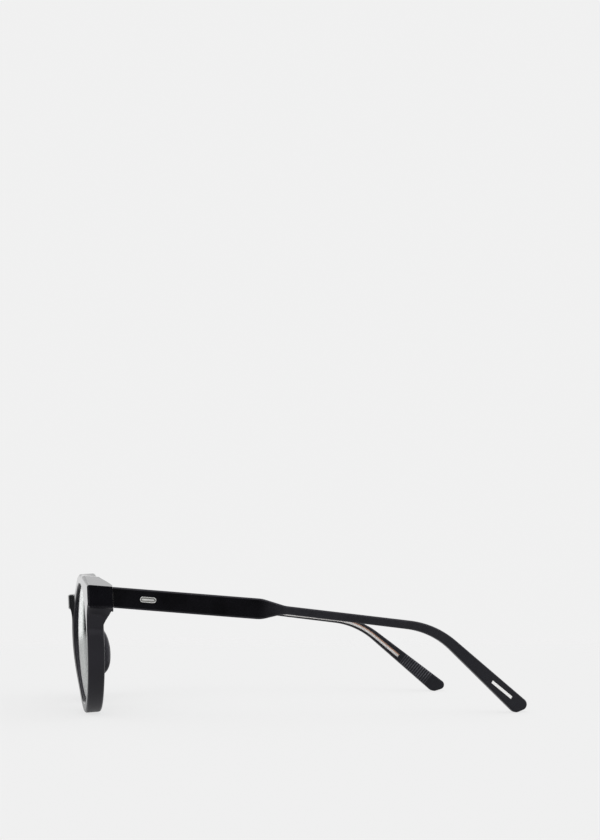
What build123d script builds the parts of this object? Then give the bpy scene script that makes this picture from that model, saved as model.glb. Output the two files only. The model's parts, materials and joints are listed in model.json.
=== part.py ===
from build123d import *

# Round acetate eyeglasses with slim wire-core temples, standing open on a flat surface.
#
# +X is the wearer's left, +Y points from the front back to the ears and +Z is up. The origin is
# on the surface, under the middle of the whole pair. Lengths are in millimetres.
#
# Depths below are counted rearward from the front of the end pieces, and heights from the surface.
# The front is drawn in its own leaning frame, and each temple in upright and level planes.
# The wearer's left side is modelled, and its mirror image is written as the right side.

import os
from math import cos, degrees, pi, radians, sin, tan

# Overall stance
DEPTH_CENTRE = 72.42  # depth of the middle of the pair, which becomes Y = 0
LEAN = radians(3.6)  # the top of the front leans forward
TEMPLE_FALL = radians(4.5)  # the temples fall towards the ears

# Front, in its own frame: across, depth and height along the lean
LENS_CENTRE_X = 35.0
LENS_CENTRE_H = 23.97
LENS_WIDTH = 48.0
LENS_HEIGHT = 41.2
RIM = 3.4
WIDEN_ABOVE = 0.09  # the lens is this much wider above its middle than below
OUTLINE_POINTS = 20
RIM_DEPTH = 5.5
FRONT_HALF_WIDTH = 70.4
CORNER_X = 69.4  # the outer front corners are rounded from here
BRIDGE_BOTTOM, BRIDGE_TOP = 35.7, 41.3
BRIDGE_REACH = 17.0
BRIDGE_CORNER = 4.0
END_PIECE_REAR = 8.0
BROW_INNER = 40.0  # the brow and the web leave the rims outside this
END_OUTLINE = [  # (across, height above the temple's middle): brow, side, underside, web
    (BROW_INNER, 7.0), (50.0, 6.6), (FRONT_HALF_WIDTH, 3.425), (FRONT_HALF_WIDTH, -3.425),
    (68.0, -3.425), (64.0, -6.4), (61.0, -12.4), (BROW_INNER, -12.4),
]
BROW_CORNER, WEB_CORNER = 10.0, 4.0
BLOCK_FLARE = [(46.0, 5.9), (52.0, 7.9), (58.0, 9.2), (66.4, 10.4), (69.0, 10.4)]  # (across, depth)
BLOCK_FRONT = 4.0
BLOCK_START = 2.5  # inside the rims
WEB_REAR = [(4.6, 29.0), (5.0, 29.9), (5.8, 31.8), (6.8, 33.5), (7.9, 35.7)]  # (depth, height)
BROW_REAR = [(8.0, 43.2), (6.6, 44.5), (4.9, 45.6), (3.1, 46.9)]
WALL_X = 66.35  # inner side of the block that turns back to meet the temple
FRONT_EDGE = 0.8  # rounding of the outer edges, and of the lens openings below
REAR_EDGE = 0.8
OPENING_EDGE = 0.5

# Lenses: pieces of a spherical shell that sit in grooves in the rims
LENS_RADIUS = 140.0
LENS_THICK = 1.8
LENS_INTO_RIM = 0.7
LENS_APEX_DEPTH = -1.0
FACE_FORM = radians(5.8)  # each lens is turned outward about the front's height

# Nose pads
PAD_X = 9.6
PAD_THICK = 3.6
PAD_EDGE = 1.6
PAD_SPLAY = 24.0  # the rear edges of the pads stand further apart
PAD_FLARE = 14.0  # and so do their lower ends
PAD_OUTLINE = [(-4.5, 10.5), (1.2, 8.8), (3.9, 4.5), (5.3, -1.5), (4.7, -6.0), (1.7, -8.8), (-4.5, -9.5)]
PAD_DEPTH, PAD_HEIGHT = 3.7, 19.4

# Hinges: five barrels about one pin, parallel to the front's height
HINGE_X, HINGE_DEPTH, HINGE_HEIGHT = 65.0, 9.05, 39.5
BARREL_RADIUS = 1.25
BARREL_HEIGHT = 1.12
BARREL_GAP = 0.06
BARREL_PITCH = BARREL_HEIGHT + BARREL_GAP
HINGE_TALL = 5 * BARREL_HEIGHT + 4 * BARREL_GAP
BORE_RADIUS = 0.55
PIN_RADIUS = 0.50
SCREW_HEAD_RADIUS = 1.0
SCREW_HEAD_HEIGHT = 0.5
SCREW_SLOT = 0.3
LEAF_REAR = 7.55  # rear face of the front leaf, in the front's frame
LEAF_DEEP, LEAF_WIDE, LEAF_MID_X = 1.3, 5.6, 63.3
ANCHOR_DEEP, ANCHOR_WIDE, ANCHOR_TALL = 1.6, 3.4, 4.0
LEAF_THICK = 1.0
LEAF_IN_X = 65.7
TEMPLE_LEAF_LONG, TEMPLE_LEAF_TALL, TEMPLE_LEAF_MID = 13.6, 4.4, 17.4
TEMPLE_LEAF_CORNER = 0.6
WEB_WIDE, WEB_LONG, WEB_MID_X = 1.85, 2.6, 65.3

# Temples: outlines are (depth, height) seen from the side and (across, depth) seen from above
JOINT_HEIGHT = 39.6  # middle of the temple at its butt end
TEMPLE_TALL = 6.85
TEMPLE_BUTT = 8.12  # just clear of the end piece
TEMPLE_EDGE = 0.55
TIP_INWARD = radians(16.4)  # the tips lean towards each other
OUTER_ROUTE = [(70.3, 4.0), (69.9, 60.0), (69.3, 111.0), (55.6, 157.5)]
OUTER_BENDS = [300, 60]
INNER_ROUTE = [(66.4, 4.0), (66.15, 54.0), (66.75, 64.0), (66.3, 111.0), (52.6, 157.5)]
INNER_BENDS = [40, 60, 60]
CORE_ROUTE = [(27.0, 38.15), (60.0, 35.8), (116.6, 29.33), (135.1, 13.6)]
CORE_BENDS = [80, 30]
CORE_TALL = 1.2
STRIP_TALL = 1.7
STRIP_START, STRIP_END = 67.0, 133.6
STRIP_DEEP = 1.5
CORE_COVER = 0.8  # clear acetate over the wire

# Trim
PLATE_DEPTH, PLATE_HEIGHT = 19.46, 38.76
PLATE_LONG, PLATE_TALL = 5.4, 1.9
PLATE_SUNK, PLATE_PROUD, PLATE_BEVEL = 0.4, 0.35, 0.15
PIN_SPACING = 3.0
RIVET_RADIUS = 0.45
BAR_LONG, BAR_TALL, BAR_SUNK, BAR_PROUD = 9.7, 1.0, 0.5, 0.05
BAR_MIDDLE = (142.4, 7.93)
BAR_FALL = 35.8
RIB_COUNT, RIB_PITCH, RIB_WIDTH, RIB_LONG, RIB_DEEP = 15, 1.05, 0.45, 4.2, 0.3
RIB_MIDDLE = (140.7, 8.75)
RIB_FALL = 39.0

FRONT_UP = Vector(0, -sin(LEAN), cos(LEAN))
FRONT_BACK = Vector(0, cos(LEAN), sin(LEAN))
TEMPLE_BACK = Vector(0, cos(TEMPLE_FALL), -sin(TEMPLE_FALL))


# ---- planes and outlines -----------------------------------------------------------------


def side_plane(x=0.0):
    """Upright plane seen from the wearer's left: its axes are depth and height."""
    return Plane(origin=(x, -DEPTH_CENTRE, 0), x_dir=(0, 1, 0), z_dir=(1, 0, 0))


def plan_plane(height=0.0):
    """Level plane: its axes are across and depth."""
    return Plane(origin=(0, -DEPTH_CENTRE, height), x_dir=(1, 0, 0), z_dir=(0, 0, 1))


def front_point(x, depth, height):
    """World point of a place given in the leaning frame of the front."""
    return Vector(x, -DEPTH_CENTRE, 0) + FRONT_BACK * depth + FRONT_UP * height


def in_front_frame(depth, height):
    """Depth and height in the leaning frame of a place given upright."""
    return depth * cos(LEAN) + height * sin(LEAN), height * cos(LEAN) - depth * sin(LEAN)


def face_plane(depth=0.0):
    """Plane of the front's outline: its axes are across and height, and it looks forward."""
    return Plane(origin=front_point(0, depth, 0), x_dir=(1, 0, 0), z_dir=-FRONT_BACK)


def section_plane(height=0.0, x=0.0, depth=0.0):
    """Plane square to the front's height: its axes are across and depth."""
    return Plane(origin=front_point(x, depth, height), x_dir=(1, 0, 0), z_dir=FRONT_UP)


def joint_plane(ahead=0.0):
    """Plane square to the temples where they meet the front: its axes are across and height."""
    joint = Vector(0, TEMPLE_BUTT - DEPTH_CENTRE, JOINT_HEIGHT)
    return Plane(origin=joint - TEMPLE_BACK * ahead, x_dir=(1, 0, 0), z_dir=-TEMPLE_BACK)


def eye_shape(grow, side=1):
    """Draws the panto lens outline, grown outward by the given amount, in the open sketch."""
    points = []
    for step in range(OUTLINE_POINTS):
        turn = 2 * pi * step / OUTLINE_POINTS
        across = (LENS_WIDTH / 2 + grow) * cos(turn) * (1 + WIDEN_ABOVE * sin(turn))
        height = LENS_CENTRE_H + (LENS_HEIGHT / 2 + grow) * sin(turn)
        points.append((side * (LENS_CENTRE_X + across), height))
    with BuildLine() as outline:
        Spline(*points, periodic=True)
    make_face(outline.edges())


# ---- lenses and front --------------------------------------------------------------------


def make_lens():
    """Left lens, turned outward by the face form."""
    apex = front_point(LENS_CENTRE_X, LENS_APEX_DEPTH, LENS_CENTRE_H)
    inward = FRONT_BACK * cos(FACE_FORM) - Vector(1, 0, 0) * sin(FACE_FORM)
    ball = apex + inward * LENS_RADIUS
    with BuildPart() as lens:
        with BuildSketch(face_plane(-10)):
            eye_shape(LENS_INTO_RIM)
        extrude(amount=-25)
        with Locations(ball):
            Sphere(LENS_RADIUS, mode=Mode.INTERSECT)
            Sphere(LENS_RADIUS - LENS_THICK, mode=Mode.SUBTRACT)
    return lens


def front_slab():
    """The front seen from above: rims of one depth, a proud bridge and a deeper block each end."""
    half = [(0, -5.1), (5, -4.6), (10, -3.5), (16, -2.3), (26, -1.2), (40, -0.1), (54, 1.0), (CORNER_X, 2.2)]
    rear = [(x, depth + RIM_DEPTH) for x, depth in half[3:-1]]
    rear.append((WALL_X, half[-1][1] + RIM_DEPTH))
    corner_depth = half[-1][1] + FRONT_HALF_WIDTH - CORNER_X + 0.2
    block_rear = in_front_frame(END_PIECE_REAR, JOINT_HEIGHT)[0]
    with BuildPart() as slab:
        with BuildSketch(section_plane(-5)):
            with BuildLine():
                Spline(*[(-x, depth) for x, depth in reversed(half[1:])], *half)
                for side in (1, -1):
                    Bezier(
                        (side * CORNER_X, half[-1][1]),
                        (side * FRONT_HALF_WIDTH, half[-1][1] + 0.2),
                        (side * FRONT_HALF_WIDTH, corner_depth),
                    )
                    Polyline(
                        (side * FRONT_HALF_WIDTH, corner_depth),
                        (side * FRONT_HALF_WIDTH, block_rear),
                        (side * WALL_X, block_rear),
                        (side * WALL_X, rear[-1][1]),
                    )
                Spline(*[(-x, depth) for x, depth in reversed(rear)], (0, -0.2), *rear)
            make_face()
        extrude(amount=60)
    return slab.part


def end_piece():
    """Left end piece seen along the temple: brow above, and a web that curves down to the rim."""
    with BuildPart() as piece:
        with BuildSketch(joint_plane(25)):
            with BuildLine() as outline:
                Polyline(*END_OUTLINE, close=True)
            make_face(outline.edges())
        extrude(amount=-40)
    return piece.part


def stock_sides():
    """The two blocks behind an end of the front, with their rear faces curved as seen from the side."""
    with BuildPart() as sides:
        for rear in (WEB_REAR, BROW_REAR):
            with BuildSketch(side_plane(BLOCK_FLARE[-1][0])):
                with BuildLine() as outline:
                    Spline(*rear)
                    Polyline(rear[-1], (BLOCK_START, rear[-1][1]), (BLOCK_START, rear[0][1]), rear[0])
                make_face(outline.edges())
            extrude(amount=BLOCK_FLARE[0][0] - BLOCK_FLARE[-1][0])
    return sides.part


def make_stock(end):
    """Thicker stock behind the left end of the front, above and below the hinge."""
    sides = stock_sides()
    inner, outer = BLOCK_FLARE[0][0], BLOCK_FLARE[-1][0]
    with BuildPart() as stock:
        add(sides)
        with BuildSketch(section_plane(-5)):
            with BuildLine() as outline:
                Polyline(*BLOCK_FLARE, (outer, BLOCK_FRONT), (inner, BLOCK_FRONT), close=True)
            make_face(outline.edges())
        extrude(amount=60, mode=Mode.INTERSECT)
        add(end, mode=Mode.INTERSECT)
        with BuildSketch(face_plane(-10)):
            eye_shape(0)
        extrude(amount=-30, mode=Mode.SUBTRACT)
    return stock.part


def corners_of(front, least_x, most_x, least_z=0):
    """Edges that run through the depth of the front in a range of places."""
    for edge in front.edges():
        middle = edge @ 0.5
        runs_back = abs(((edge @ 1) - (edge @ 0)).dot(FRONT_BACK)) > RIM_DEPTH - 1.5
        if runs_back and least_x < abs(middle.X) < most_x and middle.Z > least_z:
            yield edge


def make_front(end):
    """One acetate piece: two rims, the bridge and the end pieces that turn back to the temples."""
    slab = front_slab()
    with BuildPart() as front:
        with BuildSketch(face_plane(-30)):
            for side in (1, -1):
                eye_shape(RIM, side)
            with Locations((0, (BRIDGE_BOTTOM + BRIDGE_TOP) / 2)):
                Rectangle(2 * BRIDGE_REACH, BRIDGE_TOP - BRIDGE_BOTTOM)
        extrude(amount=-70)
        add(end)
        mirror(end, about=Plane.YZ)
        add(slab, mode=Mode.INTERSECT)
        fillet([*corners_of(front, 0, BRIDGE_REACH)], BRIDGE_CORNER)
        fillet([*corners_of(front, BROW_INNER, CORNER_X, JOINT_HEIGHT)], BROW_CORNER)
        fillet([*corners_of(front, BROW_INNER, CORNER_X)], WEB_CORNER)
        large = front.faces().sort_by(SortBy.AREA)[-2:].sort_by(Axis.Y)
        fillet(large[0].edges(), FRONT_EDGE)
        large = front.faces().sort_by(SortBy.AREA)[-2:].sort_by(Axis.Y)
        fillet([edge for edge in large[1].edges() if abs((edge @ 0.5).X) < WALL_X - 1], REAR_EDGE)
        with BuildSketch(face_plane(-10)):
            for side in (1, -1):
                eye_shape(0, side)
        extrude(amount=-30, mode=Mode.SUBTRACT)
    return front


def finish_front(front, stock, fitted):
    """Rounds the lens openings, adds the stock behind and cuts the seats of what is set in."""
    with BuildPart() as finished:
        add(front.part)
        fillet([edge for edge in finished.edges() if edge.length > 120], OPENING_EDGE)
        add(stock)
        mirror(stock, about=Plane.YZ)
        for piece in fitted:
            add(piece, mode=Mode.SUBTRACT)
            mirror(piece, about=Plane.YZ, mode=Mode.SUBTRACT)
    return finished


def make_nose_pad(front):
    """Left pad: a D seen from the side, splayed rearward and flared downward, on the rim's back."""
    middle = Vector(PAD_X, PAD_DEPTH - DEPTH_CENTRE, PAD_HEIGHT)
    across = Vector(
        cos(radians(PAD_SPLAY)) * cos(radians(PAD_FLARE)),
        -sin(radians(PAD_SPLAY)) * cos(radians(PAD_FLARE)),
        sin(radians(PAD_FLARE)),
    )
    back = Vector(sin(radians(PAD_SPLAY)), cos(radians(PAD_SPLAY)), 0)
    plane = Plane(origin=middle, x_dir=back, z_dir=across)
    with BuildPart() as pad:
        with BuildSketch(plane):
            with BuildLine():
                Spline(*PAD_OUTLINE)
                Line(PAD_OUTLINE[-1], PAD_OUTLINE[0])
            make_face()
        extrude(amount=PAD_THICK / 2, both=True)
        rounded = [edge for edge in pad.edges() if edge.geom_type == GeomType.BSPLINE]
        fillet(rounded, PAD_EDGE)
        add(front.part, mode=Mode.SUBTRACT)
    return pad


# ---- hinge -------------------------------------------------------------------------------


def barrel_planes(steps):
    """Bottom planes of the barrels at the given steps from the middle one, centred on the pin."""
    depth, height = in_front_frame(HINGE_DEPTH, HINGE_HEIGHT)
    for step in steps:
        foot = height + step * BARREL_PITCH - BARREL_HEIGHT / 2
        yield section_plane(foot, HINGE_X, depth)


def make_front_hinge():
    """Left front half: a leaf and anchor sunk into the end piece, and three barrels."""
    depth, height = in_front_frame(HINGE_DEPTH, HINGE_HEIGHT)
    leaf_back = LEAF_REAR - depth
    with BuildPart() as hinge:
        with BuildSketch(section_plane(height - HINGE_TALL / 2, HINGE_X, depth)):
            with Locations((LEAF_MID_X - HINGE_X, leaf_back - LEAF_DEEP / 2)):
                Rectangle(LEAF_WIDE, LEAF_DEEP)
        extrude(amount=HINGE_TALL)
        with BuildSketch(section_plane(height - ANCHOR_TALL / 2, HINGE_X, depth)):
            with Locations((LEAF_MID_X - HINGE_X, leaf_back - LEAF_DEEP - ANCHOR_DEEP / 2)):
                Rectangle(ANCHOR_WIDE, ANCHOR_DEEP)
        extrude(amount=ANCHOR_TALL)
        for plane in barrel_planes((-2, 0, 2)):
            with BuildSketch(plane):
                Circle(BARREL_RADIUS)
                with Locations((0, (leaf_back - LEAF_DEEP / 2) / 2)):
                    Rectangle(2 * BARREL_RADIUS - 0.2, abs(leaf_back - LEAF_DEEP / 2))
                Circle(BORE_RADIUS, mode=Mode.SUBTRACT)
            extrude(amount=BARREL_HEIGHT)
    return hinge


def make_temple_hinge():
    """Left temple half: a leaf let into the temple's inner face, and two barrels."""
    with BuildPart() as hinge:
        leaf_face = Plane(
            origin=(LEAF_IN_X, -DEPTH_CENTRE, 0), x_dir=(0, 1, 0), z_dir=(1, 0, 0)
        )
        with BuildSketch(leaf_face):
            leaf_middle = (TEMPLE_LEAF_MID, temple_middle(TEMPLE_LEAF_MID))
            with Locations(Location(leaf_middle, -degrees(TEMPLE_FALL))):
                RectangleRounded(TEMPLE_LEAF_LONG, TEMPLE_LEAF_TALL, TEMPLE_LEAF_CORNER)
        extrude(amount=LEAF_THICK)
        for plane in barrel_planes((-1, 1)):
            with BuildSketch(plane):
                Circle(BARREL_RADIUS)
                with Locations((WEB_MID_X - HINGE_X, WEB_LONG / 2)):
                    Rectangle(WEB_WIDE, WEB_LONG)
                Circle(BORE_RADIUS, mode=Mode.SUBTRACT)
            extrude(amount=BARREL_HEIGHT)
    return hinge


def make_hinge_screw():
    """Left pin screw: a slotted head on the top barrel and a plain shank through all five."""
    depth, height = in_front_frame(HINGE_DEPTH, HINGE_HEIGHT)
    bottom = section_plane(height - HINGE_TALL / 2, HINGE_X, depth)
    with BuildPart() as screw:
        with BuildSketch(bottom):
            Circle(PIN_RADIUS)
        extrude(amount=HINGE_TALL)
        with BuildSketch(bottom.offset(HINGE_TALL)):
            Circle(SCREW_HEAD_RADIUS)
        extrude(amount=SCREW_HEAD_HEIGHT)
        with BuildSketch(bottom.offset(HINGE_TALL + SCREW_HEAD_HEIGHT)):
            Rectangle(SCREW_SLOT, 2 * SCREW_HEAD_RADIUS)
        extrude(amount=-SCREW_HEAD_HEIGHT / 2, mode=Mode.SUBTRACT)
    return screw


# ---- temples -----------------------------------------------------------------------------


def temple_middle(depth):
    """Height of the middle of the thick part of the temple at a depth."""
    return JOINT_HEIGHT - (depth - TEMPLE_BUTT) * tan(TEMPLE_FALL)


def butt_corner(rise):
    """Corner of the butt face, which leans with the front, this far above the temple's middle."""
    return (TEMPLE_BUTT - rise * tan(LEAN), JOINT_HEIGHT + rise)


def shifted(route, distance):
    """A route seen from above, moved across by a distance."""
    return [(x + distance, depth) for x, depth in route]


def level_band(outer, outer_bends, inner, inner_bends):
    """Tall block between two routes seen from above."""
    with BuildPart() as band:
        with BuildSketch(plan_plane(-10)):
            with BuildLine():
                FilletPolyline(*outer, radius=outer_bends)
                Line(outer[-1], inner[-1])
                FilletPolyline(*inner, radius=inner_bends)
                Line(inner[0], outer[0])
            make_face()
        extrude(amount=70)
    return band.part


def make_temple_blank():
    """Left temple before anything is let into it: thick to behind the hinge, then slim."""
    top = [
        butt_corner(TEMPLE_TALL / 2),
        (57.4, 39.2),
        (65.2, 36.8),
        (117.5, 30.75),
        (154.56, 1.94),
    ]
    bottom = [
        (147.55, -0.35),
        (116.2, 27.85),
        (64.6, 34.1),
        (57.0, 32.3),
        butt_corner(-TEMPLE_TALL / 2),
    ]
    bends = [0, 10, 12, 34, 2.0, 2.6, 29, 12, 10, 0]
    band = level_band(OUTER_ROUTE, OUTER_BENDS, INNER_ROUTE, INNER_BENDS)
    with BuildPart() as temple:
        with BuildSketch(side_plane(40)):
            with BuildLine():
                FilletPolyline(*top, *bottom, radius=bends, close=True)
            make_face()
        extrude(amount=40)
        add(band, mode=Mode.INTERSECT)
    return temple


def make_core_wire():
    """Left flat wire that stiffens the temple from behind the hinge to the tip."""
    band = level_band(
        shifted(INNER_ROUTE, STRIP_DEEP), INNER_BENDS, shifted(INNER_ROUTE, CORE_COVER), INNER_BENDS
    )
    with BuildPart() as wire:
        with BuildSketch(side_plane(40)):
            with BuildLine() as route:
                FilletPolyline(*CORE_ROUTE, radius=CORE_BENDS)
            trace(route.edges(), line_width=CORE_TALL)
        extrude(amount=40)
        add(band, mode=Mode.INTERSECT)
    return wire


def make_inner_strip(wire):
    """Left clear strip, flush with the temple's inner face, that shows the wire behind it."""
    start = (STRIP_START, core_height(STRIP_START))
    end = (STRIP_END, core_height(STRIP_END))
    band = level_band(
        shifted(INNER_ROUTE, STRIP_DEEP), INNER_BENDS, INNER_ROUTE, INNER_BENDS
    )
    with BuildPart() as strip:
        with BuildSketch(side_plane(40)):
            with BuildLine() as route:
                FilletPolyline(start, CORE_ROUTE[2], end, radius=CORE_BENDS[1])
            trace(route.edges(), line_width=STRIP_TALL)
        extrude(amount=40)
        add(band, mode=Mode.INTERSECT)
        add(wire.part, mode=Mode.SUBTRACT)
    return strip


def core_height(depth):
    """Height of the wire's middle line at a depth behind the thick part of the temple."""
    points = CORE_ROUTE[1:]
    for (depth_a, height_a), (depth_b, height_b) in zip(points, points[1:]):
        if depth_a <= depth <= depth_b:
            return height_a + (height_b - height_a) * (depth - depth_a) / (depth_b - depth_a)
    raise ValueError("that depth is not on the slim part of the temple")


def outer_face_x(depth):
    """How far out the temple's outer face is at a depth on its straight stretches."""
    for (x_a, depth_a), (x_b, depth_b) in zip(OUTER_ROUTE, OUTER_ROUTE[1:]):
        if depth_a <= depth <= depth_b:
            return x_a + (x_b - x_a) * (depth - depth_a) / (depth_b - depth_a)
    raise ValueError("that depth is not on the temple")


def tip_plane(x, place, facing):
    """Plane along a side of the tip at a (depth, height) place, facing out (1) or in (-1)."""
    outward = Vector(cos(TIP_INWARD), sin(TIP_INWARD), 0)
    back = Vector(-sin(TIP_INWARD), cos(TIP_INWARD), 0)
    origin = (x, place[0] - DEPTH_CENTRE, place[1])
    return Plane(origin=origin, x_dir=back * facing, z_dir=outward * facing)


def make_rivet_plate():
    """Left trim plate on the outer face, with two rivets through to the hinge leaf."""
    face_x = outer_face_x(PLATE_DEPTH)
    with BuildPart() as plate:
        with BuildSketch(side_plane(face_x - PLATE_SUNK)):
            with Locations(Location((PLATE_DEPTH, PLATE_HEIGHT), -degrees(TEMPLE_FALL))):
                SlotOverall(PLATE_LONG, PLATE_TALL)
        extrude(amount=PLATE_SUNK + PLATE_PROUD)
        chamfer(plate.faces().sort_by(Axis.X)[-1].edges(), PLATE_BEVEL)
        with BuildSketch(side_plane(LEAF_IN_X)):
            with Locations(Location((PLATE_DEPTH, PLATE_HEIGHT), -degrees(TEMPLE_FALL))):
                with GridLocations(PIN_SPACING, 1, 2, 1):
                    Circle(RIVET_RADIUS)
        extrude(amount=face_x - LEAF_IN_X)
    return plate


def make_tip_inlay():
    """Left slim bar let into the outer face of the tip."""
    plane = tip_plane(outer_face_x(BAR_MIDDLE[0]), BAR_MIDDLE, 1)
    with BuildPart() as bar:
        with BuildSketch(plane.offset(-BAR_SUNK)):
            with Locations(Location((0, 0), -BAR_FALL)):
                Rectangle(BAR_LONG, BAR_TALL)
        extrude(amount=BAR_SUNK + BAR_PROUD)
    return bar


def inner_face_x(depth):
    """How far out the inner face of the tip is at a depth."""
    (x_a, depth_a), (x_b, depth_b) = INNER_ROUTE[-2:]
    return x_a + (x_b - x_a) * (depth - depth_a) / (depth_b - depth_a)


def make_temple(blank, fitted):
    """Left temple: edges rounded, grip ribs cut inside the tip, and seats for what is set in."""
    with BuildPart() as temple:
        add(blank.part)
        butt = temple.faces().sort_by(Axis.Y)[0]
        crossing = [edge for edge in temple.edges() if abs((edge % 0.5).X) > 0.9]
        sharp = butt.edges() + crossing
        fillet([edge for edge in temple.edges() if edge not in sharp], TEMPLE_EDGE)
        plane = tip_plane(inner_face_x(RIB_MIDDLE[0]), RIB_MIDDLE, -1)
        with BuildSketch(plane.offset(-RIB_DEEP)):
            with Locations(Location((0, 0), RIB_FALL)):
                with GridLocations(RIB_PITCH, 1, RIB_COUNT, 1):
                    Rectangle(RIB_WIDTH, RIB_LONG)
        extrude(amount=2 * RIB_DEEP, mode=Mode.SUBTRACT)
        for piece in fitted:
            add(piece, mode=Mode.SUBTRACT)
    return temple


# ---- assembly ----------------------------------------------------------------------------


def write(piece, name):
    """Labels one piece and writes it to its own file."""
    piece.label = name
    export_step(piece, f"parts/{name}.step")


def write_pair(built, name):
    """Writes the left piece and its mirror image, the right one."""
    write(built.part, f"{name}_left")
    with BuildPart() as twin:
        mirror(built.part, about=Plane.YZ)
    write(twin.part, f"{name}_right")


def main():
    os.makedirs("parts", exist_ok=True)
    lens = make_lens()
    front_hinge = make_front_hinge()
    end = end_piece()
    front = finish_front(make_front(end), make_stock(end), [lens.part, front_hinge.part])
    temple_hinge = make_temple_hinge()
    wire = make_core_wire()
    strip = make_inner_strip(wire)
    plate = make_rivet_plate()
    inlay = make_tip_inlay()
    with BuildPart() as leaf:
        add(temple_hinge.part)
        add(plate.part, mode=Mode.SUBTRACT)
    fitted = [leaf.part, wire.part, strip.part, plate.part, inlay.part]
    write(front.part, "front")
    write_pair(lens, "lens")
    write_pair(make_nose_pad(front), "nose_pad")
    write_pair(front_hinge, "front_hinge")
    write_pair(leaf, "temple_hinge")
    write_pair(make_hinge_screw(), "hinge_screw")
    write_pair(make_temple(make_temple_blank(), fitted), "temple")
    write_pair(wire, "core_wire")
    write_pair(strip, "inner_strip")
    write_pair(plate, "rivet_plate")
    write_pair(inlay, "tip_inlay")


main()
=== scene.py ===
import json
import math

import bpy
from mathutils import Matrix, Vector


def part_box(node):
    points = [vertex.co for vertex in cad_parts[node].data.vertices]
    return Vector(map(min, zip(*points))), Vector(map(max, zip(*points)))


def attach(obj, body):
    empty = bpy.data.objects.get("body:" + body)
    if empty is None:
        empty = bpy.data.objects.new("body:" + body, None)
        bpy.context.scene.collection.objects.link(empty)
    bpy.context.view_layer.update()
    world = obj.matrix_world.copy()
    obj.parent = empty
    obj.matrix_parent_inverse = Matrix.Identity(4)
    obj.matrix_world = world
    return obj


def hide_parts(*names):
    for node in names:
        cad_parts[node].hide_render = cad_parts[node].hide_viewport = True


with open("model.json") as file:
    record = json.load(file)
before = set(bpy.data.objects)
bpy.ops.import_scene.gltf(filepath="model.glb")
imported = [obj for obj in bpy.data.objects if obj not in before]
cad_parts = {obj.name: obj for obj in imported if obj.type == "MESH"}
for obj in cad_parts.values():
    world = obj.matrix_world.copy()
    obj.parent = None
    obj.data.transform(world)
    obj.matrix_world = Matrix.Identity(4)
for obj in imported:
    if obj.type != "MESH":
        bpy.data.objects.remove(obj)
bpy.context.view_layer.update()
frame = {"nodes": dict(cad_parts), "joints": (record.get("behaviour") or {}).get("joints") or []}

# Colours are linear. Lengths are in metres.
MM = 0.001

# Studio
BACKDROP = 0.875  # brightness of the backdrop and of the lit floor
FLOOR_HALF = 0.95
FLOOR_FADE = 0.45  # the floor fades into the backdrop from here to its edge
FLOOR_PALE = 0.86
FLOOR_GRAIN = 0.004
FLOOR_DIMMED = 0.5  # how much less the floor shows in a gloss
SHADOW_SHARE = 0.2  # how much of the floor's brightness is lit rather than its own
DARK_BAND = 0.05  # half height of the dark band, as the sine of its elevation
DARKEST = 0.03  # brightness of the dark band and of the dark card
FOCAL_LENGTH = 57.6
CAMERA_AWAY = 0.518  # from the middle of the glasses, out past the wearer's left
CAMERA_AHEAD = 0.00905  # in front of the hinges
CAMERA_HEIGHT = 0.0385
CAMERA_YAW = math.radians(8.88)  # turned towards the ears
CAMERA_PITCH = math.radians(7.66)

# Acetate
GLOSS_TINT = (0.90, 0.88, 1.0, 1)  # lavender
WALL_TOP = 37.5 * MM  # the rims' outer walls are rubbed below this
WALL_ROUGH = 0.3
WORN_ROUGH = 0.22
TIP_ALONG = (-0.2194, 0.7455, -0.629)  # the way a temple tip runs, for |x|, y and z
RIB_SHIFT = (0.3 * MM, -1.7 * MM, 0.82 * MM)  # from the tip bar's middle to the middle of the painted highlight lines
RIB_PITCH, RIB_REACH = 1.05 * MM, 6.7 * MM
# Colours of the painted highlight lines that stand for light on the grip ribs inside the tips
RIB_HIGHLIGHT_DIM, RIB_HIGHLIGHT_BRIGHT = (0.045, 0.047, 0.054), (0.13, 0.13, 0.145)

# Brushed metal: how the lines stretch along X, Y and Z, how deep they are, and how metallic it is
LINES_BACK, LINES_LEVEL, LINES_UP, NO_LINES = (1, 0.1, 0.1), (1, 0.1, 1), (1, 1, 0.2), (1, 1, 1)
DEEP_LINES, FINE_LINES, FAINT_LINES = 0.006 * MM, 0.003 * MM, 0.001 * MM
FULL_METAL, WHITE_METAL, SATIN_METAL = 1.0, 0.3, 0.2

# Trim plate: a slot outline that turns into a long octagon inside its border
TEMPLE_FALL = math.radians(4.5)
PLATE_LONG, PLATE_TALL, PLATE_PROUD = 5.4 * MM, 1.9 * MM, 0.35 * MM
PLATE_STEPS = 16  # round each end
OCTAGON_CUT = 1.30  # largest |across| + |up| of the octagon, for flats at 1
PLATE_RINGS = [  # (smaller than the plate by, share of octagon, share of the height)
    (0, 0, -1),
    (0, 0, 0.55),
    (0.08 * MM, 0, 0.82),
    (0.22 * MM, 0, 1),
    (0.44 * MM, 0.2, 1),
    (0.60 * MM, 0.6, 0.80),
    (0.84 * MM, 1, 0.25),
    (1.10 * MM, 1, 0.25),
    (1.26 * MM, 1, 0.65),
]
GROOVE_LEVELS = (5, 6, 7)

# Core wire
WIRE_STATIONS = 120
WIRE_SECTION = [  # (into the temple, down), as shares of the wire's own depth and height
    (0.3, 0), (0.02, 0.03), (-0.04, 0.06), (-0.04, 0.36),
    (-0.05, 0.42), (-0.03, 0.97), (0.5, 1), (1, 1), (1, 0),
]
WIRE_SPREAD = 0.12  # how far the drawn wire passes the plain one, above and below
# Faces of the wire's section that get the pale painted reflection of the floor
PAINTED_REFLECTION_FLANKS = (3, 4, 5)


# ---- node helpers ------------------------------------------------------------------------


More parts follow.
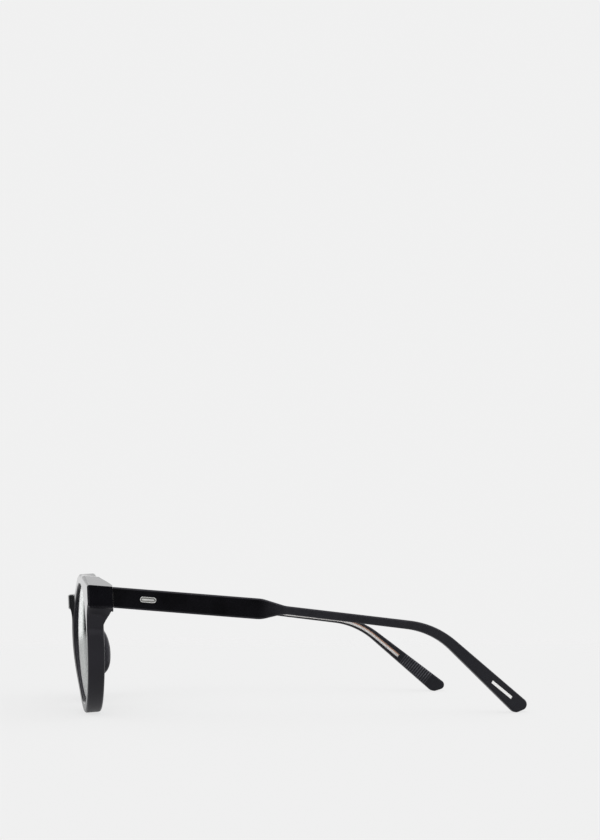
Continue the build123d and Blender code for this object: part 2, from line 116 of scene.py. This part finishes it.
class Nodes:
    """Short way to build one node material."""

    def __init__(self, name):
        self.material = bpy.data.materials.new(name)
        self.material.use_nodes = True
        self.tree = self.material.node_tree
        self.shader = self.tree.nodes["Principled BSDF"]
        coordinates = self.add("ShaderNodeTexCoord")
        self.place = coordinates.outputs["Object"]
        self.facing = coordinates.outputs["Normal"]

    def add(self, kind, **values):
        node = self.tree.nodes.new(kind)
        for name, value in values.items():
            setattr(node, name, value)
        return node

    def link(self, source, target):
        self.tree.links.new(source, target)

    def stretched(self, scale):
        """The object's own coordinates, scaled per axis."""
        mapping = self.add("ShaderNodeMapping")
        mapping.inputs["Scale"].default_value = scale
        self.link(self.place, mapping.inputs["Vector"])
        return mapping.outputs["Vector"]

    def noise(self, size, detail=3.0, stretch=(1, 1, 1)):
        """Noise whose blotches are about this many metres across."""
        node = self.add("ShaderNodeTexNoise")
        node.inputs["Scale"].default_value = 1.0 / size
        node.inputs["Detail"].default_value = detail
        self.link(self.stretched(stretch), node.inputs["Vector"])
        return node.outputs["Fac"]

    def ramp(self, source, stops):
        """Colour ramp from (position, value or colour) stops."""
        node = self.add("ShaderNodeValToRGB")
        ramp = node.color_ramp
        while len(ramp.elements) < len(stops):
            ramp.elements.new(0.5)
        for element, (position, colour) in zip(ramp.elements, stops):
            element.position = position
            element.color = (*([colour] * 3 if isinstance(colour, float) else colour), 1)
        self.link(source, node.inputs["Fac"])
        return node.outputs["Color"]

    def maths(self, operation, a, b):
        node = self.add("ShaderNodeMath", operation=operation)
        for socket, value in zip(node.inputs, (a, b)):
            if isinstance(value, (int, float)):
                socket.default_value = value
            else:
                self.link(value, socket)
        return node.outputs["Value"]

    def split(self, vector):
        """X, Y and Z of a vector."""
        node = self.add("ShaderNodeSeparateXYZ")
        self.link(vector, node.inputs["Vector"])
        return node.outputs

    def step(self, source, start, end):
        """0 up to start, 1 from end, smooth between; start may lie past end."""
        node = self.add("ShaderNodeMapRange", interpolation_type="SMOOTHSTEP")
        node.inputs["From Min"].default_value = start
        node.inputs["From Max"].default_value = end
        self.link(source, node.inputs["Value"])
        return node.outputs["Result"]

    def product(self, *factors):
        value = factors[0]
        for factor in factors[1:]:
            value = self.maths("MULTIPLY", value, factor)
        return value

    def blend(self, share, first, second):
        """Colour that goes from first to second as share goes to 1."""
        node = self.add("ShaderNodeMix", data_type="RGBA")
        self.link(share, node.inputs["Factor"])
        self.link(first, node.inputs["A"])
        self.link(second, node.inputs["B"])
        return node.outputs["Result"]

    def bump(self, height, distance, strength=1.0):
        node = self.add("ShaderNodeBump")
        node.inputs["Strength"].default_value = strength
        node.inputs["Distance"].default_value = distance
        self.link(height, node.inputs["Height"])
        self.link(node.outputs["Normal"], self.shader.inputs["Normal"])

    def set(self, **values):
        """Sets sockets of the shader, with spaces written as underscores."""
        for name, value in values.items():
            self.shader.inputs[name.replace("_", " ")].default_value = value


def paint(node_names, material):
    """Gives a material to CAD nodes."""
    for name in node_names:
        obj = frame["nodes"][name]
        obj.data.materials.clear()
        obj.data.materials.append(material)


def both(name):
    return [f"{name}_left", f"{name}_right"]


# ---- materials ---------------------------------------------------------------------------


def black_acetate():
    """Polished black acetate: deep colour with faint smoky clouds and a slightly uneven polish."""
    m = Nodes("black_acetate")
    clouds = m.ramp(m.noise(0.012), [(0.35, (0.0034, 0.0033, 0.0042)), (0.7, (0.0062, 0.0060, 0.0080))])
    m.link(clouds, m.shader.inputs["Base Color"])
    smear = m.ramp(m.noise(0.006, 5.0), [(0.3, 0.04), (0.75, 0.10)])
    edgewise = m.step(m.maths("ABSOLUTE", m.split(m.facing)["Y"], 0), 0.6, 0.3)
    low = m.step(m.split(m.place)["Z"], WALL_TOP, WALL_TOP - 2 * MM)
    rubbed = m.product(edgewise, low, WALL_ROUGH)
    m.link(m.maths("ADD", smear, rubbed), m.shader.inputs["Roughness"])
    m.set(IOR=1.49, Specular_Tint=GLOSS_TINT)
    m.bump(m.noise(0.004, 2.0), 0.00001, 0.2)
    return m.material


def rib_highlight_share(m, place):
    """1 on painted highlight lines across the inside of the tips, one rib pitch apart, 0 elsewhere."""
    inlay_lo, inlay_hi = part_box("tip_inlay_left")
    middle = [(low + high) / 2 + shift for low, high, shift in zip(inlay_lo, inlay_hi, RIB_SHIFT)]
    outward = m.maths("ABSOLUTE", place["X"], 0)
    parts = [
        m.maths("MULTIPLY", m.maths("SUBTRACT", value, start), share)
        for value, start, share in zip((outward, place["Y"], place["Z"]), middle, TIP_ALONG)
    ]
    down = m.maths("ADD", m.maths("ADD", parts[0], parts[1]), parts[2])
    wave = m.maths("COSINE", m.maths("MULTIPLY", down, 2 * math.pi / RIB_PITCH), 0)
    line = m.step(wave, 0.0, -0.8)
    ribbed = m.step(m.maths("ABSOLUTE", down, 0), RIB_REACH + 0.3 * MM, RIB_REACH)
    facing = m.split(m.facing)["X"]
    inward = m.step(m.maths("MULTIPLY", m.maths("SIGN", place["X"], 0), facing), -0.5, -0.8)
    return m.product(line, ribbed, inward)


def temple_acetate():
    """The same acetate, polished on the thick part, softly worn along the slim part, with painted highlight
    lines across the inside of the tip.
    """
    m = Nodes("temple_acetate")
    place = m.split(m.place)
    lo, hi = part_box("temple_left")
    along = m.maths("DIVIDE", m.maths("SUBTRACT", place["Y"], lo[1]), hi[1] - lo[1])
    worn = m.ramp(along, [(0.33, 0.0), (0.40, 1.0)])
    clouds = m.ramp(m.noise(0.010), [(0.35, (0.0036, 0.0035, 0.0040)), (0.7, (0.0062, 0.0060, 0.0074))])
    grain = m.noise(0.0011, 4.0)
    satin = m.ramp(grain, [(0.3, (0.0046, 0.0050, 0.0060)), (0.72, (0.0100, 0.0104, 0.0120))])
    tip_satin = m.ramp(grain, [(0.3, (0.0002, 0.0008, 0.0016)), (0.72, (0.0030, 0.0040, 0.0054))])
    slim = m.blend(m.step(along, 0.7, 0.85), satin, tip_satin)
    plain = m.blend(worn, clouds, slim)
    # Painted highlight: pale lines across the inside of the tips, where light would catch the grip ribs
    painted_rib_highlight = m.ramp(m.noise(0.003), [(0.3, RIB_HIGHLIGHT_DIM), (0.7, RIB_HIGHLIGHT_BRIGHT)])
    m.link(m.blend(rib_highlight_share(m, place), plain, painted_rib_highlight), m.shader.inputs["Base Color"])
    polish = m.ramp(m.noise(0.005, 5.0), [(0.3, 0.04), (0.75, 0.10)])
    m.link(m.maths("ADD", polish, m.maths("MULTIPLY", worn, WORN_ROUGH)), m.shader.inputs["Roughness"])
    m.set(IOR=1.47, Specular_Tint=GLOSS_TINT)
    m.bump(m.maths("MULTIPLY", m.noise(0.0007, 3.0), worn), 0.000012, 0.5)
    return m.material


def lens_glass():
    """Clear glass with a faint green cast and a thin film of dust."""
    m = Nodes("lens_glass")
    m.set(Base_Color=(0.93, 0.985, 0.955, 1), IOR=1.52, Transmission_Weight=1.0)
    dust = m.ramp(m.noise(0.003, 6.0), [(0.45, 0.005), (0.8, 0.05)])
    m.link(dust, m.shader.inputs["Roughness"])
    return m.material


def clear_acetate():
    """Clear strip over the wire."""
    m = Nodes("clear_acetate")
    m.set(Base_Color=(0.5, 0.49, 0.47, 1), IOR=1.49, Alpha=0.08)
    haze = m.ramp(m.noise(0.004, 4.0), [(0.3, 0.0), (0.8, 0.03)])
    m.link(haze, m.shader.inputs["Roughness"])
    m.bump(m.noise(0.004, 2.0), 0.00001, 0.1)
    return m.material


def brushed_metal(name, dark, light, rough, stretch, depth=DEEP_LINES, metallic=FULL_METAL):
    """Metal with fine lines along one axis."""
    m = Nodes(name)
    lines = m.noise(0.0004, 4.0, stretch)
    m.link(m.ramp(lines, [(0.3, dark), (0.7, light)]), m.shader.inputs["Base Color"])
    m.link(m.ramp(lines, [(0.3, rough), (0.7, rough + 0.12)]), m.shader.inputs["Roughness"])
    m.set(Metallic=metallic)
    m.bump(lines, depth, 0.3)
    return m.material


def floor_paper():
    """Plain pale paper that takes faint shadows and fades into the backdrop."""
    m = Nodes("floor_paper")
    tooth = m.ramp(m.noise(0.02, 2.0), [(0.0, FLOOR_PALE - FLOOR_GRAIN), (1.0, FLOOR_PALE + FLOOR_GRAIN)])
    paper = m.add("ShaderNodeBsdfDiffuse")
    m.link(tooth, paper.inputs["Color"])
    glow = m.add("ShaderNodeEmission")
    glow.inputs["Color"].default_value = (BACKDROP, BACKDROP, BACKDROP, 1)
    soft = m.add("ShaderNodeMixShader")
    soft.inputs["Fac"].default_value = SHADOW_SHARE
    mirrored = m.maths("MULTIPLY", m.add("ShaderNodeLightPath").outputs["Is Glossy Ray"], FLOOR_DIMMED)
    m.link(m.maths("SUBTRACT", 1.0, mirrored), glow.inputs["Strength"])
    m.link(glow.outputs["Emission"], soft.inputs[1])
    m.link(paper.outputs["BSDF"], soft.inputs[2])
    away = m.add("ShaderNodeVectorMath", operation="LENGTH")
    m.link(m.place, away.inputs[0])
    gone = m.add("ShaderNodeMapRange", interpolation_type="SMOOTHSTEP")
    gone.inputs["From Min"].default_value = FLOOR_FADE
    gone.inputs["From Max"].default_value = FLOOR_HALF
    m.link(away.outputs["Value"], gone.inputs["Value"])
    fade = m.add("ShaderNodeMixShader")
    m.link(gone.outputs["Result"], fade.inputs["Fac"])
    m.link(soft.outputs["Shader"], fade.inputs[1])
    m.link(m.add("ShaderNodeBsdfTransparent").outputs["BSDF"], fade.inputs[2])
    m.link(fade.outputs["Shader"], m.tree.nodes["Material Output"].inputs["Surface"])
    return m.material


# ---- detailed pieces ---------------------------------------------------------------------


def new_piece(name, points, faces, materials, slots, body, node):
    """Mesh that stands in for a CAD node and rides on its body."""
    mesh = bpy.data.meshes.new(name)
    mesh.from_pydata(points, [], faces)
    for material in materials:
        mesh.materials.append(material)
    mesh.polygons.foreach_set("material_index", slots)
    mesh.update()
    piece = bpy.data.objects.new(name, mesh)
    bpy.context.scene.collection.objects.link(piece)
    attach(piece, body)
    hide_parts(node)
    return piece


def skin(levels, count, reverse):
    """Faces between closed rings of count points each, level after level."""
    faces = []
    for level in range(levels - 1):
        for step in range(count):
            after = (step + 1) % count
            lower, upper = level * count, (level + 1) * count
            quad = (lower + step, lower + after, upper + after, upper + step)
            faces.append(quad[::-1] if reverse else quad)
    return faces


def slot_ring(long, tall, corner_cut, height):
    """Closed ring: a slot outline that turns into a long octagon as corner_cut goes to 1."""
    ring = []
    straight = (long - tall) / 2
    for end in (1, -1):
        for step in range(PLATE_STEPS + 1):
            turn = math.pi * (step / PLATE_STEPS - 0.5)
            if end < 0:
                turn += math.pi
            across, up = math.cos(turn), math.sin(turn)
            flat = max(abs(across), abs(up), (abs(across) + abs(up)) / OCTAGON_CUT)
            size = (1 - corner_cut) + corner_cut / flat
            ring.append((end * straight + across * size * tall / 2, up * size * tall / 2, height))
    return ring


def make_plate(side, materials):
    """Trim plate: a rounded silver border, a dark groove and a flat bar inside it."""
    name = "left" if side > 0 else "right"
    node = f"rivet_plate_{name}"
    lo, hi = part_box(node)
    middle_y, middle_z = (lo[1] + hi[1]) / 2, (lo[2] + hi[2]) / 2
    face_x = (hi[0] if side > 0 else -lo[0]) - PLATE_PROUD
    points = []
    for smaller, corner_cut, height in PLATE_RINGS:
        ring = slot_ring(PLATE_LONG - smaller, PLATE_TALL - smaller, corner_cut, height * PLATE_PROUD)
        for along, up, out in ring:
            y = middle_y + along * math.cos(TEMPLE_FALL) + up * math.sin(TEMPLE_FALL)
            z = middle_z - along * math.sin(TEMPLE_FALL) + up * math.cos(TEMPLE_FALL)
            points.append((side * (face_x + out), y, z))
    levels = len(PLATE_RINGS)
    count = len(points) // levels
    faces = skin(levels, count, side < 0)
    slots = [1 if face // count in GROOVE_LEVELS else 0 for face in range(len(faces))]
    cap = tuple(range((levels - 1) * count, levels * count))
    back = tuple(range(count))
    faces += [cap, back[::-1]] if side > 0 else [cap[::-1], back]
    slots += [0, 0]
    piece = new_piece(
        f"plate_{name}", points, faces, materials, slots, f"temple_{name}", node
    )
    piece.data.shade_smooth()
    piece.modifiers.new("crisp", "EDGE_SPLIT").split_angle = math.radians(35)


def slice_box(mesh, y):
    """X and Z extents of a mesh where it crosses a depth."""
    xs, zs = [], []
    places = [vertex.co for vertex in mesh.vertices]
    for edge in mesh.edges:
        a, b = (places[index] for index in edge.vertices)
        if (a.y - y) * (b.y - y) < 0:
            share = (y - a.y) / (b.y - a.y)
            xs.append(a.x + (b.x - a.x) * share)
            zs.append(a.z + (b.z - a.z) * share)
    return min(xs), max(xs), min(zs), max(zs)


def make_wire(side, materials):
    """Core wire: a rose-gold upper flank and a pale lower one that is a painted reflection, as the strip
    shows it.
    """
    name = "left" if side > 0 else "right"
    node = f"core_wire_{name}"
    mesh = frame["nodes"][node].data
    lo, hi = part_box(node)
    points = []
    for station in range(WIRE_STATIONS):
        y = lo[1] + (hi[1] - lo[1]) * (0.002 + 0.99 * station / (WIRE_STATIONS - 1))
        x_lo, x_hi, z_lo, z_hi = slice_box(mesh, y)
        inner, outer = (x_lo, x_hi) if side > 0 else (x_hi, x_lo)
        depth, tall = outer - inner, (z_hi - z_lo) * (1 + 2 * WIRE_SPREAD)
        top = z_hi + (z_hi - z_lo) * WIRE_SPREAD
        for into, down in WIRE_SECTION:
            points.append((inner + depth * into, y, top - tall * down))
    count = len(WIRE_SECTION)
    faces = skin(WIRE_STATIONS, count, side > 0)
    # Slot 1 is the pale painted reflection on the lower flank
    slots = [1 if face % count in PAINTED_REFLECTION_FLANKS else 0 for face in range(len(faces))]
    first = tuple(range(count))
    last = tuple(range((WIRE_STATIONS - 1) * count, WIRE_STATIONS * count))
    faces += [first[::-1], last] if side < 0 else [first, last[::-1]]
    slots += [0, 0]
    new_piece(f"wire_{name}", points, faces, materials, slots, f"temple_{name}", node)


# ---- surroundings ------------------------------------------------------------------------


def make_floor():
    mesh = bpy.data.meshes.new("floor")
    corners = [(-1, -1), (1, -1), (1, 1), (-1, 1)]
    mesh.from_pydata([(FLOOR_HALF * x, FLOOR_HALF * y, 0) for x, y in corners], [], [(0, 1, 2, 3)])
    mesh.materials.append(floor_paper())
    floor = bpy.data.objects.new("floor", mesh)
    bpy.context.scene.collection.objects.link(floor)


def make_world():
    """White studio, with a low dark band beyond the wearer's left and a dark card ahead of the front."""
    world = bpy.data.worlds.new("studio")
    bpy.context.scene.world = world
    world.use_nodes = True
    tree = world.node_tree
    tree.nodes.clear()

    def ease(source, start, end, to_start, to_end):
        made = tree.nodes.new("ShaderNodeMapRange")
        made.interpolation_type = "SMOOTHSTEP"
        for name, value in zip(("From Min", "From Max", "To Min", "To Max"), (start, end, to_start, to_end)):
            made.inputs[name].default_value = value
        tree.links.new(source, made.inputs["Value"])
        return made.outputs["Result"]

    def joined(operation, first, *others):
        value = first
        for other in others:
            made = tree.nodes.new("ShaderNodeMath")
            made.operation = operation
            tree.links.new(value, made.inputs[0])
            tree.links.new(other, made.inputs[1])
            value = made.outputs["Value"]
        return value

    direction = tree.nodes.new("ShaderNodeSeparateXYZ")
    tree.links.new(tree.nodes.new("ShaderNodeTexCoord").outputs["Generated"], direction.inputs["Vector"])
    x, y, z = direction.outputs
    height = tree.nodes.new("ShaderNodeMath")
    height.operation = "ABSOLUTE"
    tree.links.new(z, height.inputs[0])
    off_level = height.outputs["Value"]
    low = ease(off_level, DARK_BAND, 2.2 * DARK_BAND, 1.0, 0.0)
    band = joined("MULTIPLY", low, ease(x, 0.45, 0.75, 0.0, 1.0))
    ahead = ease(y, -0.38, -0.25, 1.0, 0.0)
    card = joined("MULTIPLY", ahead, ease(off_level, 0.5, 0.7, 1.0, 0.0), ease(x, 0.3, 0.6, 1.0, 0.0))
    light = ease(joined("MAXIMUM", band, card), 0.0, 1.0, 1.0, DARKEST)
    lit = tree.nodes.new("ShaderNodeBackground")
    tree.links.new(light, lit.inputs["Color"])
    seen = tree.nodes.new("ShaderNodeBackground")
    seen.inputs["Color"].default_value = (BACKDROP, BACKDROP, BACKDROP, 1)
    mix = tree.nodes.new("ShaderNodeMixShader")
    tree.links.new(tree.nodes.new("ShaderNodeLightPath").outputs["Is Camera Ray"], mix.inputs["Fac"])
    tree.links.new(lit.outputs["Background"], mix.inputs[1])
    tree.links.new(seen.outputs["Background"], mix.inputs[2])
    tree.links.new(mix.outputs["Shader"], tree.nodes.new("ShaderNodeOutputWorld").inputs["Surface"])


def make_sun(name, strength, angle, aim):
    """Even soft light that travels along aim."""
    light = bpy.data.lights.new(name, "SUN")
    light.energy = strength
    light.angle = math.radians(angle)
    lamp = bpy.data.objects.new(name, light)
    lamp.rotation_mode = "QUATERNION"
    lamp.rotation_quaternion = Vector(aim).to_track_quat("-Z", "Y")
    bpy.context.scene.collection.objects.link(lamp)


def make_camera():
    """Low camera on the wearer's left, level with the front of the end pieces."""
    data = bpy.data.cameras.new("camera")
    data.lens = FOCAL_LENGTH
    data.clip_start = 0.01
    camera = bpy.data.objects.new("camera", data)
    bpy.context.scene.collection.objects.link(camera)
    bpy.context.scene.camera = camera
    joint = frame["joints"][0]["pos_m"]
    camera.location = (CAMERA_AWAY, joint[1] - CAMERA_AHEAD, CAMERA_HEIGHT)
    cos_pitch = math.cos(CAMERA_PITCH)
    ahead = Vector(
        (-math.cos(CAMERA_YAW) * cos_pitch, math.sin(CAMERA_YAW) * cos_pitch, math.sin(CAMERA_PITCH))
    )
    camera.rotation_mode = "QUATERNION"
    camera.rotation_quaternion = ahead.to_track_quat("-Z", "Y")


# ---- assembly ----------------------------------------------------------------------------

bpy.context.scene.view_settings.view_transform = "Standard"
paint(["front", *both("nose_pad")], black_acetate())
paint(both("temple"), temple_acetate())
paint(both("lens"), lens_glass())
paint(both("inner_strip"), clear_acetate())
rose = brushed_metal(
    "core_metal", (0.52, 0.27, 0.18), (0.72, 0.42, 0.30), 0.3, LINES_BACK, FAINT_LINES
)
# Painted reflection: the rose-gold wire's lower flank is coloured near white and only slightly metallic,
# standing for the bright floor it reflects
pale = brushed_metal(
    "core_painted_reflection", (0.95, 0.92, 0.89), (0.98, 0.96, 0.94), 0.3, LINES_BACK, FAINT_LINES, SATIN_METAL
)
trim = brushed_metal("trim_metal", (0.74, 0.74, 0.72), (0.90, 0.90, 0.88), 0.30, LINES_LEVEL)
groove = brushed_metal("trim_groove", (0.20, 0.20, 0.19), (0.33, 0.33, 0.31), 0.40, LINES_LEVEL)
inlay = brushed_metal(
    "inlay_metal", (0.92, 0.92, 0.91), (0.98, 0.98, 0.97), 0.5, LINES_LEVEL, FINE_LINES, WHITE_METAL
)
hinge = brushed_metal("hinge_metal", (0.36, 0.35, 0.34), (0.55, 0.54, 0.52), 0.28, LINES_UP)
screw = brushed_metal("screw_metal", (0.5, 0.49, 0.46), (0.7, 0.69, 0.66), 0.2, NO_LINES)
paint(both("tip_inlay"), inlay)
paint([*both("front_hinge"), *both("temple_hinge")], hinge)
paint(both("hinge_screw"), screw)
for side in (1, -1):
    make_wire(side, [rose, pale])
    make_plate(side, [trim, groove])
make_floor()
make_world()
make_sun("overhead", 0.3, 50, (-0.25, 0.35, -1.0))
make_camera()
